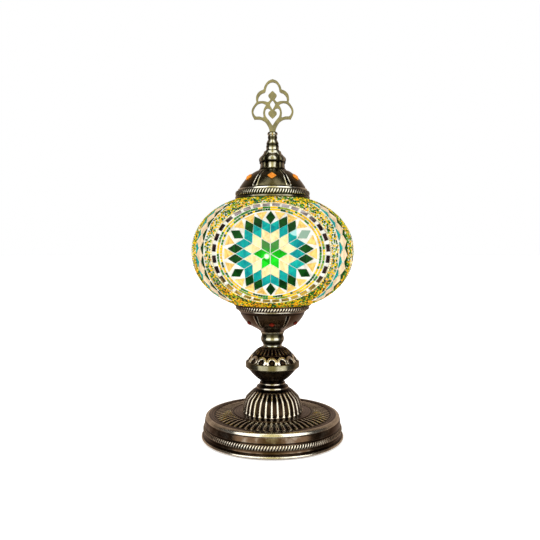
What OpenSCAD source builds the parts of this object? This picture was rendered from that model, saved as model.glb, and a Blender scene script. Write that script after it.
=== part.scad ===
// Mosaic glass table lamp. Millimetres, +Z up, standing on z = 0 with the stem's axis on Z.
// The front faces -Y.

/* [Base] */
// Radius of the base's wall at its foot
base_r = 69.4; // [67:0.2:71]
// Height of the base's top
base_h = 26; // [25:0.5:30]
// Wall thickness of the spun metal parts
wall = 1.6; // [1.3:0.1:1.8]
// Height of the cord's hole
cord_z = 9; // [8.8:0.1:9.6]
// Radius of the cord's hole
cord_r = 3; // [2:0.1:3.2]

/* [Stem] */
// Radius of the bell foot
bell_r = 30; // [29:0.1:31]
// Height of the bell foot
bell_h = 30.5; // [30:0.5:32]
// Radius of the bright band round the knop
knop_r = 27; // [26.5:0.1:29]
// Height of the neck between the knop and the cup
neck_h = 15.5; // [15.5:0.5:20]

/* [Globe] */
// Radius of the mosaic globe at its widest
globe_r = 80; // [79:0.5:81]
// Half the height that the globe's curve would have if it were closed
globe_half_h = 57.6; // [57.4:0.2:58.4]
// How square the globe's profile is, where 2 is an ellipse
squareness = 2.15; // [2:0.05:2.15]
// Radius of the opening at the top of the globe
top_opening_r = 27; // [26.6:0.1:28]
// Radius of the opening at the bottom of the globe
bottom_opening_r = 31; // [30:0.1:32]

/* [Mosaic] */
// Side of the rhombic grid that the medallions are laid on
tile_pitch = 8.9; // [8.3:0.1:8.9]
// Width of the grout line between two tiles
grout_gap = 0.8; // [0.8:0.1:1.4]
// How much a medallion's tiles grow away from its centre, per millimetre
tile_growth = 0.0012; // [0:0.0001:0.0012]
// Thickness of a glass tile
tile_t = 2; // [1.6:0.1:2.1]
// Tiles in the dark ring round a medallion
ring_tiles = 32; // [24:1:34]
// Direction of the tile columns beside the front medallion
column_angle = 57; // [56:0.5:62]

/* [Cap] */
// Radius of the cap's rim
cap_r = 37.2; // [36.8:0.1:38.5]
// Height of the cap from its rim to the collar
cap_h = 29.2; // [29:0.2:30.4]
// Height of the collar
collar_h = 17.8; // [17:0.2:18.6]

/* [Finial] */
// Height of the turned finial stem
finial_stem_h = 19.4; // [19.2:0.1:21]
// Thickness of the openwork plate
plate_t = 2; // [1.6:0.1:2.2]

/* [Lampholder and bulb] */
// Radius of the lampholder
holder_r = 13.5; // [12.5:0.1:15]
// Radius of the bulb's diffuser
bulb_r = 22.5; // [20:0.5:23.5]
// Height of the bulb's diffuser centre above the globe's bottom opening
bulb_rise = 53; // [50:0.5:56]

/* [Hidden] */
$fn = 96;
eps = 0.01;

// Heights of the stack, from the surface up
knop_lower_h = 13.8;
knop_band_h = 6.3;
knop_upper_h = 14.4;
cup_h = 27.5;
z_bell = base_h;
z_knop = z_bell + bell_h;
z_band = z_knop + knop_lower_h;
z_knop_top = z_band + knop_band_h;
z_neck = z_knop_top + knop_upper_h;
z_cup = z_neck + neck_h - 0.3;
z_lip = z_cup + cup_h;

// The globe rests on the cup's lip, with a hair of clearance
seat_gap = 0.3;
lip_r = 38.6;
z_globe = z_lip + seat_gap + super_z(lip_r - 0.3, globe_r, globe_half_h);
grout_t = 1.2;
glass_t = 2.5;
bead_t = 1.4;
tile_lift = 0.05;
grout_r_drop = tile_t + tile_lift;
glass_r_drop = grout_r_drop + grout_t;

// Mosaic layout, as distances along the surface from a medallion's centre
medallion_drop = 1;
medallion_angles = [0, 90 + column_angle / 2, -90 - column_angle / 2];
column_angles = [column_angle, -column_angle, 180];
triangle_r = 4.93 * tile_pitch;
strand_in = 45.6;
strand_out = 49.7;
ring_r = 56;
ring_tile = [6.6, 4.3];
ring_clear = 59.2;
column_half_w = 7.5;
column_pitch = 13;
column_rows = 9;
column_mid = -2.5;
column_tip = 1.6;

// Cap, finial and fixings
z_cap = z_globe + super_z(cap_r, globe_r, globe_half_h) + 0.4;
cap_wall = 1.3;
z_collar = z_cap + cap_h;
z_finial = z_collar + collar_h;
z_plate = z_finial + finial_stem_h;
stud_r = 2;
stud_clear = 0.05;
web_t = 1.3;
spring_t = 0.8;

// Threaded lamp pipe and what it clamps
pipe_r = 5;
pipe_bore_r = 3.5;
pipe_hole_r = 5.15;
pipe_bottom = 9;
cup_floor_t = 3.5;
nut_h = 3;
washer_t = 1.5;
z_holder = z_cup + cup_floor_t + nut_h;
z_pipe_top = z_holder + 5.5;
z_body = z_holder + 12.4;
holder_body_h = 36;
holder_floor_t = 6;
liner_r = 8.6;

// Bulb with an E14 screw cap
z_bulb = z_globe - super_z(bottom_opening_r, globe_r, globe_half_h) + bulb_rise;
cap_screw_r = 6.95;
z_contact = z_body + holder_floor_t + 3.2;
z_insulator = z_contact + 1.3;
z_screw = z_insulator + 2.5;
screw_h = 19;
z_housing = z_screw + screw_h;
housing_angle = -38;

// ---------------------------------------------------------------- outlines

function rev(p) = [for (i = [len(p) - 1:-1:0]) p[i]];
function up(p, z) = [for (q = p) q + [0, z]];
function arc(c, r, a0, a1, n = 8) =
    [for (i = [0:n]) let (a = a0 + (a1 - a0) * i / n) c + r * [cos(a), sin(a)]];

// Smooth curve through a few points
function blend(a, b, c, d, t) =
    0.5 * (2 * b + (c - a) * t + (2 * a - 5 * b + 4 * c - d) * t * t + (3 * b - a - 3 * c + d) * t * t * t);
function curve(p, n = 4) = concat(
    [for (i = [0:len(p) - 2], j = [0:n - 1])
        blend(p[max(i - 1, 0)], p[i], p[i + 1], p[min(i + 2, len(p) - 1)], j / n)],
    [p[len(p) - 1]]);

// The same outline moved sideways by d, to its left as it is walked
function heading(p, i) =
    let (d = p[min(i + 1, len(p) - 1)] - p[max(i - 1, 0)]) d / norm(d);
function aside(p, d) = [for (i = [0:len(p) - 1]) let (h = heading(p, i)) p[i] + d * [-h.y, h.x]];
function between(p, lo, hi) = [for (q = p) if (q.y > lo && q.y < hi) q];

// A convex outline, walked anticlockwise, drawn in by d on every side
function drawn_in(p, d) = [for (i = [0:len(p) - 1])
    let (a = p[(i + len(p) - 1) % len(p)], b = p[i], c = p[(i + 1) % len(p)],
         u = (b - a) / norm(b - a), v = (c - b) / norm(c - b),
         m = [-u.y, u.x], n = [-v.y, v.x])
    b + d * (m + n) / (1 + m * n)];

// ---------------------------------------------------------------- globe surface

function super_z(r, a, b) = b * pow(1 - pow(r / a, squareness), 1 / squareness);
function super_r(z, a, b) = a * pow(1 - pow(abs(z) / b, squareness), 1 / squareness);

// Profile of the layer that lies d under the mosaic's face, from opening to opening
function globe_arc(d, r_low = bottom_opening_r, r_high = top_opening_r, n = 36) =
    let (a = globe_r - d, b = globe_half_h - d,
         t0 = -acos(pow(r_low / a, squareness / 2)),
         t1 = acos(pow(r_high / a, squareness / 2)))
    [for (i = [0:n]) let (t = t0 + (t1 - t0) * i / n)
        [a * pow(cos(t), 2 / squareness),
         z_globe + sign(t) * b * pow(abs(sin(t)), 2 / squareness)]];

// How far from the medallion's axis a point lies that is rho along the surface in direction t
function section_r(t) = 1 / sqrt(pow(cos(t) / globe_r, 2) + pow(sin(t) / globe_half_h, 2));
function turn(rho, c, k, a, n) = n == 0 ? a : turn(rho, c, k, rho / c / (1 + k * a * a / 6), n - 1);
function reach(rho, t) =
    let (c = section_r(t), k = pow(globe_r / c, 2) - 1, a = turn(rho, c, k, rho / c, 5))
    c * sin(a * 180 / PI);

// A point of the surface in front, x across and z up from the globe's centre, and its normal
function on_front(x, z) = [x, -sqrt(pow(super_r(z, globe_r, globe_half_h), 2) - x * x), z];
function normal_at(p) =
    let (r = norm([p.x, p.y]), n = squareness,
         g = [pow(r, n - 2) * p.x / pow(globe_r, n), pow(r, n - 2) * p.y / pow(globe_r, n),
              pow(abs(p.z), n - 2) * p.z / pow(globe_half_h, n)])
    g / norm(g);
function placed(p, e, n) =
    let (u = (e - (e * n) * n) / norm(e - (e * n) * n), v = cross(n, u))
    [[u.x, v.x, n.x, p.x], [u.y, v.y, n.y, p.y], [u.z, v.z, n.z, p.z + z_globe], [0, 0, 0, 1]];

// Frame of a tile whose centre is at c in a medallion's flat layout
function medallion_frame(c) =
    let (q = c - [0, medallion_drop], rho = max(norm(q), eps), t = atan2(q.y, q.x), s = reach(rho, t),
         p = on_front(s * cos(t), s * sin(t)),
         ahead = on_front((s + 0.1) * cos(t), (s + 0.1) * sin(t)) - p,
         n = normal_at(p), r = (ahead - (ahead * n) * n) / norm(ahead - (ahead * n) * n))
    placed(p, cos(t) * r - sin(t) * cross(n, r), n);

// Frame of a tile on a column, v along the surface above the globe's middle
function column_frame(v) =
    let (s = reach(max(abs(v), eps), 90) * sign(v), p = on_front(0, s))
    placed(p, [1, 0, 0], normal_at(p));

function centre_of(p) = [for (i = [0:1]) [for (q = p) q[i]] * [for (q = p) 1] / len(p)];
function spoke(a, r = tile_pitch) = r * [cos(a), sin(a)];
function grid(k) = spoke(30 + 60 * k);
function grown(q) = q * (1 + tile_growth * norm(q));
function rhomb(o, a, b) = [for (q = [o, o + a, o + a + b, o + b]) grown(q)];
function triangle(k, a0, apex_a, apex_r, a1) =
    [grown(spoke(30 + 60 * k + apex_a, apex_r * tile_pitch)),
     spoke(30 + 60 * k + a0, triangle_r), spoke(30 + 60 * k + a1, triangle_r)];
function trace(rho) = [for (t = [0:7.5:359]) spoke(t, reach(rho, t)) - [0, medallion_drop]];

// ---------------------------------------------------------------- helpers

module spun(p) rotate_extrude() polygon(p);

// A raised ring of half height s, whose section is flattened sideways by the last value
module bead_ring(r, z, s, flat = 1) {
    translate([0, 0, z]) rotate_extrude() translate([r, 0]) scale([flat, 1]) circle(s, $fn = 24);
}

module tube(r, bore, z0, z1) translate([0, 0, z0]) difference() {
    cylinder(r = r, h = z1 - z0);
    translate([0, 0, -1]) cylinder(r = bore, h = z1 - z0 + 2);
}

module hex_nut(flats, bore, z0, h) translate([0, 0, z0]) difference() {
    cylinder(r = flats / sqrt(3), h = h, $fn = 6);
    translate([0, 0, -1]) cylinder(r = bore, h = h + 2);
}

// A hollow spun piece with a closed top or bottom that the lamp pipe passes through
module pipe_shell(outer, z0, web_low, web_high) {
    h = outer[len(outer) - 1].y;
    inner = between(aside(outer, wall), web_low, h - web_high);
    floor_in = web_low > 0
        ? [[pipe_hole_r, 0], [pipe_hole_r, web_low], [inner[0].x, web_low]]
        : [[inner[0].x, 0]];
    roof_in = web_high > 0
        ? [[pipe_hole_r, h], [pipe_hole_r, h - web_high], [inner[len(inner) - 1].x, h - web_high]]
        : [[inner[len(inner) - 1].x, h]];
    spun(up(concat(outer, roof_in, rev(inner), rev(floor_in)), z0));
}

module layer(d0, d1) spun(concat(globe_arc(d0), rev(globe_arc(d1))));

module tile(m, outline, t = tile_t) {
    multmatrix(m) translate([0, 0, -t]) linear_extrude(t) polygon(outline);
}

module medallion_tile(outline) {
    c = centre_of(outline);
    tile(medallion_frame(c), drawn_in([for (q = outline) q - c], grout_gap / 2));
}

module on_medallions() for (a = medallion_angles) rotate(a) children();

module column_tile(outline, v) tile(column_frame(v), drawn_in(outline, grout_gap / 2));

module on_columns() for (a = column_angles, k = [0:column_rows - 1]) {
    rotate(a) let ($v = column_mid + (k - (column_rows - 1) / 2) * column_pitch) children();
}

// A prism through the globe's wall whose outline is rho along the surface from a medallion's centre
module medallion_prism(rho) {
    translate([0, -45, z_globe]) rotate([90, 0, 0]) linear_extrude(50) polygon(trace(rho));
}

module column_slot() {
    low = reach(-column_mid + column_rows * column_pitch / 2 + 1, 90);
    high = reach(column_mid + (column_rows + 1) * column_pitch / 2 + 1, 90);
    w = column_half_w + 0.5;
    translate([-w, -globe_r - 5, z_globe - low]) cube([2 * w, globe_r - 15, low + high]);
}

// A lozenge stone lying on a slope: its long diagonal runs round the part
module lozenge(r, z, tilt, w, h, t) translate([0, -r, z]) rotate([90 + tilt, 0, 0]) {
    outline = [[w / 2, 0], [0, h / 2], [-w / 2, 0], [0, -h / 2]];
    linear_extrude(t * 0.6) polygon(outline);
    translate([0, 0, t * 0.6]) linear_extrude(t * 0.4) polygon(0.7 * outline);
}

// ---------------------------------------------------------------- base

pad_t = 1.6;
rim_low = 0.8;
inner_r = base_r - wall;

module foot_pad() color("black") cylinder(r = inner_r - 0.8, h = pad_t);

module base_cover() color("dimgray") translate([0, 0, pad_t]) cylinder(r = inner_r - 0.1, h = 1);

// Cast iron plate that keeps the lamp from tipping
module base_weight() color("darkslategray") {
    top = base_h - wall;
    low = pipe_bottom + 1 + nut_h + washer_t;
    edge = base_r - 11;
    spun([[pipe_hole_r, low], [edge, low], [edge, top - 5.2], [bell_r - 0.7, top], [pipe_hole_r, top]]);
}

module base_shell() color("saddlebrown") {
    top = base_h;
    lean = 1.5;
    shoulder = 2.3;
    r = base_r - lean;
    wall_top = top - 6.9;
    face = curve([[r - 2.9, top - 2.7], [r - 5.4, top - 2.5], [r - 8.6, top - 2.7], [r - 9.9, top - 3.3],
        [r - 11.2, top - 2.7], [r - 14.8, top - 1.8], [r - 19.6, top - 1], [r - 24.6, top - 0.7],
        [r - 27.6, top - 0.6], [r - 28.6, top - 1], [r - 29.8, top - 0.4], [bell_r + 4.4, top - 0.3]]);
    difference() {
        union() {
            spun(concat(
                [[base_r, rim_low], [r, wall_top - 0.7], [r - 0.1, wall_top], [r - 0.7, wall_top + 0.5],
                 [r - 0.5, wall_top + 1]],
                arc([r - 2.9, wall_top + 1.8], shoulder, 0, 75, 6),
                face,
                [[bell_r, top], [pipe_hole_r, top], [pipe_hole_r, top - wall], [bell_r, top - wall],
                 [base_r - 23.6, top - 3.2], [base_r - 11.6, top - 5.2], [base_r - 6.6, top - 6.2]],
                arc([r - wall - 2, top - 8.2], 2, 60, 0, 4),
                [[inner_r, 3.2], [inner_r, rim_low]]));
            bead_ring(base_r + 0.35, 2.2, 1.4);
            bead_ring(base_r - 1.2, 10.1, 2.5, 0.56);
        }
        translate([0, base_r - 8, cord_z]) rotate([-90, 0, 0]) cylinder(r = cord_r + 0.8, h = 20);
        translate([0, base_r + 0.4, cord_z]) rotate([-90, 0, 0]) cylinder(r = cord_r + 1.7, h = 20);
    }
}

module cord_bushing() color("black") translate([0, 0, cord_z]) rotate([-90, 0, 0]) difference() {
    union() {
        translate([0, 0, base_r - 7]) cylinder(r = cord_r + 0.8, h = 7.4);
        translate([0, 0, base_r + 0.4]) cylinder(r = cord_r + 1.6, h = 2);
    }
    cylinder(r = cord_r, h = 2 * base_r);
}

module pipe_washer() color("silver") {
    z = pipe_bottom + 1 + nut_h;
    tube(10, pipe_r, z, z + washer_t);
}

module pipe_nut() color("goldenrod") hex_nut(14, pipe_r, pipe_bottom + 1, nut_h);

module lamp_pipe() color("gold") tube(pipe_r, pipe_bore_r, pipe_bottom, z_pipe_top);

// ---------------------------------------------------------------- stem

module bell_foot() color("peru") {
    r = bell_r;
    outer = curve([[r, 0], [r - 0.1, 2], [r - 0.5, 5.5], [r - 1.3, 9], [r - 2.3, 12], [r - 3.6, 14.8],
        [r - 6.6, 17.8], [r - 9.8, 20.8], [r - 12.2, 22.4], [r - 14, 23.8], [r - 15.6, 25.6],
        [r - 17.2, 27], [r - 18.6, 28.6], [r - 19.1, bell_h]]);
    pipe_shell(outer, z_bell, 0, 3);
    bead_ring(r - 15.4, z_bell + 24.4, 1.5);
    bead_ring(r - 18.3, z_bell + 28.4, 1.3);
}

module knop_lower() color("sienna") {
    r = knop_r;
    pipe_shell(curve([[r - 16, 0], [r - 14.6, 0.9], [r - 12.7, 2.3], [r - 9.1, 5.3], [r - 6.3, 8.3],
        [r - 3.8, 11.3], [r - 1.2, knop_lower_h]]), z_knop, 3, 0);
}

module knop_band() color("burlywood") spun([
    [knop_r - 6, z_band], [knop_r - 0.9, z_band], [knop_r, z_band + 0.8],
    [knop_r, z_knop_top - 0.8], [knop_r - 0.9, z_knop_top], [knop_r - 6, z_knop_top]]);

module knop_upper() color("peru") {
    r = knop_r;
    pipe_shell(curve([[r - 1.5, 0], [r - 2.2, 1.4], [r - 3.5, 3.2], [r - 6, 6.2], [r - 8.9, 9.3],
        [r - 12.2, 12.2], [r - 14.6, 13.5], [r - 16.4, knop_upper_h]]), z_knop_top, 0, 3);
}

module neck_baluster() color("saddlebrown") {
    outer = curve([[10, 0], [9.2, 1.2], [9.5, 2.6], [10.2, 4], [11.3, 6], [11.7, 8], [11.4, 9.8],
        [10.9, 11.4], [11, 13.2], [12, neck_h - 0.3]]);
    spun(up(concat(outer, [[7, neck_h - 0.3], [7, 0]]), z_neck));
}

// ---------------------------------------------------------------- cup that carries the globe

module lower_cup() color("sienna") {
    outer = concat(
        curve([[12, 0], [12.6, 1], [16.7, 3.7], [22.4, 6.7], [25.8, 9.7], [28.3, 12.7], [30.3, 15.7],
            [32, 18.7], [33.4, 21.2], [34.6, 23.4], [36.2, 25.4]]),
        [[lip_r, 27], [lip_r, cup_h]]);
    // The lip's inside follows the globe that rests on it
    seat = [for (r = [lip_r - 0.8:-1.3:lip_r - 6.8])
        [r, z_globe - super_z(r, globe_r, globe_half_h) - seat_gap - z_cup]];
    inner = [[31.4, 22], [30, 18.6], [28.1, 15.4], [26, 12.4], [23.6, 9.8], [20.8, 7.8], [17, 5.6],
        [13, cup_floor_t], [pipe_hole_r, cup_floor_t], [pipe_hole_r, 0]];
    spun(up(concat(outer, seat, inner), z_cup));
    bead_ring(35.5, z_cup + 24.9, 2.3, 0.6);
    bead_ring(33.3, z_cup + 21.7, 0.8);
}

module cup_stones() color("orangered") for (k = [0:5]) rotate(60 * k) {
    lozenge(26.2, z_cup + 10, 45, 5.4, 5.2, 1.4);
}

// ---------------------------------------------------------------- lampholder

module holder_locknut() color("goldenrod") hex_nut(16, pipe_r, z_cup + cup_floor_t, nut_h);

module lampholder_base() color("whitesmoke") {
    h = z_body - z_holder;
    floor_h = z_pipe_top + 0.5 - z_holder;
    spun(up([[pipe_r, 0], [9, 0], [holder_r, 4], [holder_r, h], [holder_r - 2, h], [holder_r - 2, floor_h],
        [pipe_r, floor_h]], z_holder));
}

module terminal_screws() color("silver") for (x = [-7, 7]) translate([x, 0, z_pipe_top + 0.8]) {
    cylinder(r = 1.9, h = 1.4);
    translate([0, 0, 1.4]) cylinder(r = 1.2, h = z_body - z_pipe_top - 2.2);
}

module lampholder_body() color("white") difference() {
    translate([0, 0, z_body]) cylinder(r1 = holder_r, r2 = holder_r - 0.8, h = holder_body_h);
    translate([0, 0, z_body + holder_floor_t]) cylinder(r = liner_r + 0.1, h = holder_body_h);
    for (y = [-5, 5]) translate([0, y, z_body - 1]) cylinder(r = 1, h = holder_floor_t + 2);
}

module lampholder_liner() color("gold") {
    tube(liner_r, liner_r - 0.8, z_body + holder_floor_t, z_body + holder_body_h - 1.5);
}

module centre_contact() color("gold") translate([0, 0, z_body + holder_floor_t]) {
    translate([-4, -2, 0]) cube([8, 4, 0.8]);
    translate([0, 0, 0.8]) cylinder(r = 1.8, h = 2.1);
}

// ---------------------------------------------------------------- bulb

module bulb_contact() color("silver") translate([0, 0, z_contact]) cylinder(r1 = 1.8, r2 = 2.6, h = 1.3);

module bulb_insulator() color("black") translate([0, 0, z_insulator]) cylinder(r1 = 3.4, r2 = 6.4, h = 2.5);

module bulb_cap() color("silver") tube(cap_screw_r, cap_screw_r - 0.5, z_screw, z_housing);

bulb_rim = [bulb_r * cos(housing_angle), z_bulb + bulb_r * sin(housing_angle)];
neck_r = 7.2;
neck_top = z_body + holder_body_h + 0.5;

// Its straight neck stays inside the lampholder, and it flares above it
module bulb_housing() color("white") {
    flare = curve([[neck_r, neck_top], [bulb_rim.x * 0.74, bulb_rim.y - 4.6], bulb_rim]);
    outer = concat([[neck_r, z_housing]], flare);
    inner = between(aside(outer, 1.4), z_housing, bulb_rim.y - 1);
    spun(concat(outer, [[bulb_rim.x - 2, bulb_rim.y]], rev(inner), [[neck_r - 1.4, z_housing]]));
}

module led_board() color("khaki") {
    z = bulb_rim.y - 2.2;
    translate([0, 0, z]) cylinder(r = 13, h = 1);
    for (k = [0:7]) rotate(45 * k) translate([7.3, -1.2, z + 0.9]) cube([2.4, 2.4, 0.9]);
}

module bulb_diffuser() color("ivory") {
    inner_angle = asin(bulb_r * sin(housing_angle) / (bulb_r - 1));
    outer = arc([0, z_bulb], bulb_r, housing_angle, 90, 22);
    spun(concat(outer, arc([0, z_bulb], bulb_r - 1, 90, inner_angle, 22)));
}

// ---------------------------------------------------------------- globe

module glass_globe() color("lightyellow", 0.5) layer(glass_r_drop, glass_r_drop + glass_t);

module grout_shell() color("white") layer(grout_r_drop, glass_r_drop);

module star_tiles() color("limegreen") on_medallions() {
    for (k = [0:5]) medallion_tile(rhomb([0, 0], grid(k), grid(k + 1)));
}

module ivory_tiles() color("wheat") on_medallions() for (k = [0:5]) {
    medallion_tile(rhomb(grid(k), grid(k), grid(k + 1)));
    medallion_tile(rhomb(grid(k), grid(k - 1), grid(k)));
}

module teal_tiles() color("teal") on_medallions() for (k = [0:5]) {
    medallion_tile(rhomb(grid(k) + grid(k + 1), grid(k), grid(k + 1)));
    medallion_tile(rhomb(2 * grid(k), grid(k), grid(k + 1)));
    medallion_tile(rhomb(2 * grid(k), grid(k - 1), grid(k)));
}

module dark_green_tiles() color("darkgreen") on_medallions() for (k = [0:5]) {
    medallion_tile(rhomb(2 * grid(k) + grid(k + 1), grid(k), grid(k + 1)));
    medallion_tile(rhomb(grid(k) + 2 * grid(k + 1), grid(k), grid(k + 1)));
    medallion_tile(rhomb(3 * grid(k), spoke(60 * k), spoke(60 * k + 60)));
}

module amber_triangles() color("sandybrown") on_medallions() for (k = [0:5]) {
    medallion_tile(triangle(k, 5.6, 13.9, 3.62, 19.6));
    medallion_tile(triangle(k, 22.8, 30, 3.5, 37.2));
    medallion_tile(triangle(k, 40.4, 46.1, 3.62, 54.4));
}

// Small mirror plates in a ring round each medallion
module ring_mirror_tiles() color("dimgray") on_medallions() for (k = [0:ring_tiles - 1]) {
    a = 360 * (k + 0.5) / ring_tiles;
    turned = [[cos(a), -sin(a), 0, 0], [sin(a), cos(a), 0, 0], [0, 0, 1, 0], [0, 0, 0, 1]];
    tile(medallion_frame(spoke(a, ring_r)) * turned,
        [[-ring_tile.y, -ring_tile.x] / 2, [ring_tile.y, -ring_tile.x] / 2,
         [ring_tile.y, ring_tile.x] / 2, [-ring_tile.y, ring_tile.x] / 2]);
}

module bead_layer() spun(concat(globe_arc(grout_r_drop - bead_t), rev(globe_arc(grout_r_drop - tile_lift))));

// The two strings of beads round each medallion, as one raised band
module bead_strands() color("gold") on_medallions() intersection() {
    bead_layer();
    difference() {
        medallion_prism(strand_out);
        translate([0, 1, 0]) medallion_prism(strand_in);
        translate([0, -1, 0]) medallion_prism(strand_in);
    }
}

// Everything between the medallions and columns is paved with seed beads
module seed_bead_field() color("yellowgreen") difference() {
    bead_layer();
    on_medallions() medallion_prism(ring_clear);
    for (a = column_angles) rotate(a) column_slot();
}

module column_diamonds() color("peachpuff") on_columns() {
    w = column_half_w;
    h = column_pitch / 2;
    tip = h - 0.35;
    t = column_tip;
    column_tile([[w, 0], [t, tip], [-t, tip], [-w, 0], [-t, -tip], [t, -tip]], $v);
}

module column_side(s) on_columns() {
    w = column_half_w;
    h = column_pitch / 2;
    apex = column_tip + 0.2;
    c = (w + w + apex) / 3;
    half = [[w - c, -h], [w - c, h], [apex - c, 0]];
    tile(column_frame($v + h) * [[1, 0, 0, s * c], [0, 1, 0, 0], [0, 0, 1, 0], [0, 0, 0, 1]],
        drawn_in(s > 0 ? half : rev([for (q = half) [-q.x, q.y]]), grout_gap / 2));
}

module column_teal_triangles() color("darkcyan") column_side(-1);

module column_dark_triangles() color("darkgreen") column_side(1);

// ---------------------------------------------------------------- cap

module top_cap() color("darkolivegreen") {
    r = cap_r;
    h = cap_h;
    face = curve([[r - 1.1, 3.4], [r - 1.6, 5.4], [r - 2.6, 7.8], [r - 4.3, 10], [r - 5.9, 13], [r - 7.9, 15.9],
        [r - 9.6, 18.1], [r - 11.6, 20.4], [r - 14, 22.6], [r - 17.4, 25.1], [r - 20.2, 26.9],
        [r - 22.8, 28.2], [r - 24, h]]);
    inner = between(aside(face, cap_wall), 4.6, h - web_t);
    z_in = super_z(r - 1.9, globe_r, globe_half_h) - super_z(r, globe_r, globe_half_h);
    spun(up(concat(
        [[r - 0.3, 0], [r, 1.3], [r - 0.1, 2.4]], face,
        [[stud_r + stud_clear, h], [stud_r + stud_clear, h - web_t], [inner[len(inner) - 1].x, h - web_t]],
        rev(inner), [[r - 2.7, 3.6], [r - 1.9, 2.2], [r - 1.9, z_in]]), z_cap));
    bead_ring(r - 1.6, z_cap + 5.1, 2.5, 0.56);
    bead_ring(r - 3.9, z_cap + 8.9, 1.1);
}

module cap_stones() color("darkorange") for (k = [0:5]) rotate(60 * k) {
    lozenge(cap_r - 11.25, z_cap + 20.15, -45, 8.2, 8.4, 1.7);
}

// Sprung strip that centres the cap in the globe's opening
module clip_spring() color("silver") {
    w = 8;
    leg_x = top_opening_r - 1.9;
    z = cap_h - web_t - spring_t / 2;
    leg = curve([[7, z], [9, z - 0.9], [14, z - 5], [20, z - 14], [leg_x, z - 22], [leg_x, z - 30],
        [leg_x - 1.2, z - 36], [leg_x - 4, z - 40]], 3);
    half = concat([[4, z]], leg);
    path = concat(rev([for (q = half) [-q.x, q.y]]), half);
    difference() {
        translate([0, w / 2, z_cap]) rotate([90, 0, 0]) linear_extrude(w)
            polygon(concat(aside(path, spring_t / 2), rev(aside(path, -spring_t / 2))));
        translate([0, 0, z_cap]) cylinder(r = stud_r, h = cap_h);
    }
}

module cap_collar() color("darkkhaki") {
    h = collar_h;
    outer = curve([[13.4, 0], [12.6, 1.8], [12, 4.4], [12.4, 6.2], [13.2, 8.4], [13.4, 10.2], [12.6, 12],
        [11, 13.6], [9.7, 15], [8.9, 16.2], [8.4, h]]);
    inner = between(aside(outer, 1.5), 0, h - 2.5);
    hole = stud_r + stud_clear;
    spun(up(concat(outer, [[hole, h], [hole, h - 2.5], [inner[len(inner) - 1].x, h - 2.5]], rev(inner),
        [[inner[0].x, 0]]), z_collar));
}

module stud_nut() color("silver") hex_nut(7, stud_r, z_collar - web_t - spring_t - 3.2, 3.2);

module finial_stud() color("silver") translate([0, 0, z_collar - web_t - spring_t - 4.4]) {
    cylinder(r = stud_r, h = z_finial + 11 - (z_collar - web_t - spring_t - 4.4));
}

// ---------------------------------------------------------------- finial

tang_w = 4.6;
tang_h = 5.6;
pin_r = 0.6;
pin_z = z_plate - 3;

module finial_stem() color("olive") difference() {
    h = finial_stem_h;
    spun(up(concat(
        [[0, 0]], curve([[7.4, 0], [7.2, 0.8], [6.3, 1.5], [6.3, 3.6], [6.3, 5.6], [6, 6.2], [5.5, 6.6],
            [6.1, 7.2], [6, 8.4], [5.3, 10], [4.6, 11.3], [4.3, 12.1], [4.6, 13], [4.7, 14.3], [4.3, 15.6],
            [4.5, 16.1], [5, 16.9], [5, 18], [4.5, 18.9], [3.6, h]]),
        [[0, h]]), z_finial));
    translate([0, 0, z_finial - 1]) cylinder(r = stud_r + stud_clear, h = 12.6);
    translate([-tang_w / 2, -plate_t / 2 - 0.05, z_plate - tang_h]) cube([tang_w, plate_t + 0.1, tang_h + 1]);
    translate([0, 0, pin_z]) rotate([90, 0, 0]) cylinder(r = pin_r, h = 14, center = true);
}

module finial_pin() color("gold") translate([0, 0, pin_z]) rotate([90, 0, 0]) {
    cylinder(r = pin_r, h = 10.2, center = true);
}

function both(p) = concat(p, [for (i = [len(p) - 1:-1:0]) [-p[i].x, p[i].y]]);

// Half outlines of the openwork plate, from its foot up, at x >= 0
function plate_outline() = both(concat(
    [[tang_w / 2, -tang_h], [tang_w / 2, 0.02], [2.9, 0.02]],
    curve([[3, 0.6], [3.4, 3], [4.8, 6.1], [6.7, 9], [9, 10.8], [11.7, 12], [15.5, 12.3], [17.8, 12.1]]),
    curve([[18.2, 12.5], [20.1, 16.4], [20.8, 19.9], [20.1, 23], [18.6, 25.6], [16, 29.1]]),
    curve([[16.1, 30], [16.4, 32.5], [15.8, 36], [14, 38.7], [11.7, 40.4], [9.2, 41.4]]),
    curve([[8.7, 42], [8.2, 44.2], [6.7, 47], [4, 50], [0.01, 51.6]])));
crown_opening = both(concat(
    curve([[0.01, 40.2], [1.8, 38.6], [4.1, 36], [3.4, 33.8], [2.1, 32.3]]),
    curve([[2.4, 31.4], [4.4, 29.3], [7.1, 30], [10.5, 30.3], [14, 30]]),
    curve([[14.2, 31], [13.9, 33.4], [12.6, 35.6], [10.5, 37.5], [7.9, 38.4]]),
    curve([[6.9, 39.6], [6.5, 41.8], [5.9, 44], [4.6, 46.4], [2.5, 48.1], [0.01, 48.7]])));
side_opening = concat(
    curve([[7.2, 27], [9.8, 28.1], [12, 28.1], [14.4, 27.2], [16.7, 24.9], [18.5, 21.8], [18.8, 19.1],
        [17.8, 16.6], [16.4, 15.2]]),
    curve([[15.6, 15.1], [12.8, 15.1], [9.5, 14.1]]),
    curve([[9, 14.6], [9.2, 17], [9.3, 19.1], [8.5, 22.6], [7, 25.4], [6.6, 26.3]]));
diamond_opening = both(curve([[0.01, 31], [1.3, 29.4], [2.5, 27], [1.5, 24.4], [0.01, 21.9]]));
heart_opening = both(concat(
    curve([[0.01, 6.3], [3.2, 11], [5.9, 14.2], [7, 16.8], [7.3, 19.5], [6.7, 21.8], [5.4, 23], [3.6, 22.8],
        [2.4, 21.8], [2.1, 20.7]]),
    curve([[3.8, 19.7], [4.2, 17.6], [2.7, 15.5], [0.01, 13]])));

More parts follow.
